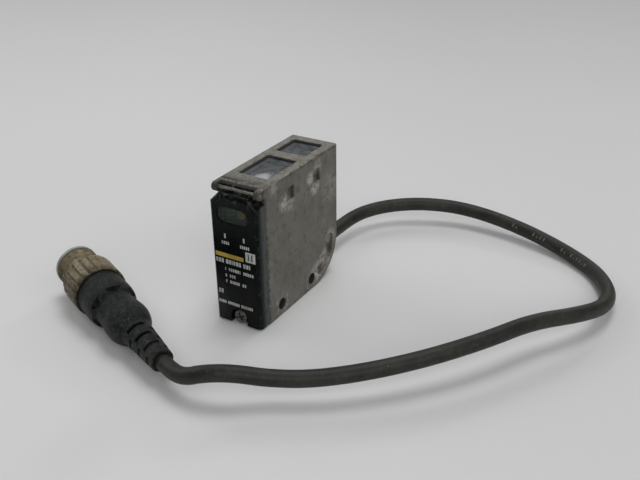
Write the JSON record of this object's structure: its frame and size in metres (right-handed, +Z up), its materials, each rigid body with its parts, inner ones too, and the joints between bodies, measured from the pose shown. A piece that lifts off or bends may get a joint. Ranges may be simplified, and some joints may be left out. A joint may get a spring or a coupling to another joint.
{
  "type": "photoelectric sensor",
  "caption": "Slim metal-cased photoelectric sensor with two top windows, a hinged front cover, side through holes, and a short lead with a threaded round connector.",
  "frame": {"origin": "centre of the sensor's base, on the surface it stands on", "axes": "+Z up towards the optical windows, -Y towards the hinged front cover, +Y towards the cable outlet, +X to the right seen from the cover"},
  "size_m": [0.1392, 0.1212, 0.04],
  "materials": {
    "housing_paint": "satin, worn",
    "steel": "satin",
    "cover_plastic": "semi-gloss moulded",
    "smoke_glass": "smoked, clear",
    "gasket_rubber": "matt",
    "optic_glass": "polished",
    "black_plastic": "matt moulded",
    "led_red": "clear",
    "led_white": "gloss",
    "circuit_board": "solder mask",
    "adjuster_brass": "turned",
    "selector_plastic": "gloss",
    "green_lens": "clear",
    "amber_lens": "clear",
    "gland_rubber": "matt",
    "cable_jacket": "satin jacket",
    "wire_insulation": "satin",
    "overmould": "satin, scuffed",
    "contact_gold": "plated",
    "nut_brass": "worn",
    "ring_plastic": "translucent"
  },
  "bodies": {
    "root": {"housing": "housing_paint", "hinge_pin": "steel", "receiver_gasket": "gasket_rubber", "emitter_gasket": "gasket_rubber", "cover_gasket": "gasket_rubber", "adjuster_seal": "gasket_rubber", "receiver_window": "optic_glass", "emitter_window": "optic_glass", "receiver_lens": "optic_glass", "emitter_lens": "optic_glass", "lens_holder": "black_plastic", "guide_frame": "black_plastic", "operation_panel": "black_plastic", "selector_switch": "black_plastic", "circuit_chips": "black_plastic", "contact_carrier": "black_plastic", "emitter_led": "led_red", "indicator_leds": "led_white", "emitter_board": "circuit_board", "main_board": "circuit_board", "indicator_board": "circuit_board", "guide_rods": "steel", "panel_screws": "steel", "clamp_screws": "steel", "shield_plate": "steel", "green_indicator": "green_lens", "amber_indicator": "amber_lens", "cable_gland": "gland_rubber", "cable_tail": "cable_jacket", "cable": "cable_jacket", "cable_clamp": "steel", "core_wires": "wire_insulation", "connector_body": "overmould", "contact_pins": "contact_gold"},
    "cover": {"front_cover": "cover_plastic", "cover_window": "smoke_glass"},
    "screw": {"cover_screw": "steel", "screw_clip": "steel"},
    "adjuster": {"distance_adjuster": "adjuster_brass"},
    "carriage": {"photodiode_carriage": "black_plastic", "photodiode": "black_plastic"},
    "selector": {"operation_selector": "selector_plastic"},
    "nut": {"coupling_nut": "nut_brass", "end_ring": "ring_plastic"}
  },
  "joints": [
    {"name": "cover_hinge", "type": "hinge", "parent": "root", "child": "cover", "pos_m": [0, -0.0176, 0.0387], "axis": [-1, 0, 0], "range_deg": [0, 110]},
    {"name": "cover_screw_turn", "type": "hinge", "parent": "cover", "child": "screw", "pos_m": [0.0002, -0.0184, 0.0025], "axis": [0, -1, 0], "continuous": true},
    {"name": "distance_adjust", "type": "hinge", "parent": "root", "child": "adjuster", "pos_m": [0, -0.016, 0.0165], "axis": [0, 1, 0], "range_deg": [-362, 362]},
    {"name": "photodiode_travel", "type": "slide", "parent": "root", "child": "carriage", "axis": [0, 1, 0], "range_m": [-0.001, 0.001]},
    {"name": "selector_turn", "type": "hinge", "parent": "root", "child": "selector", "pos_m": [0, -0.0155, 0.0245], "axis": [0, -1, 0], "range_deg": [0, 90]},
    {"name": "nut_spin", "type": "hinge", "parent": "root", "child": "nut", "pos_m": [-0.03921, -0.033, 0.00755], "axis": [-0.9158, 0.4001, 0.0349], "continuous": true}
  ],
  "couplings": [
    {"joint": "distance_adjust", "follows": "photodiode_travel", "rad_per_m": 6283.2}
  ]
}
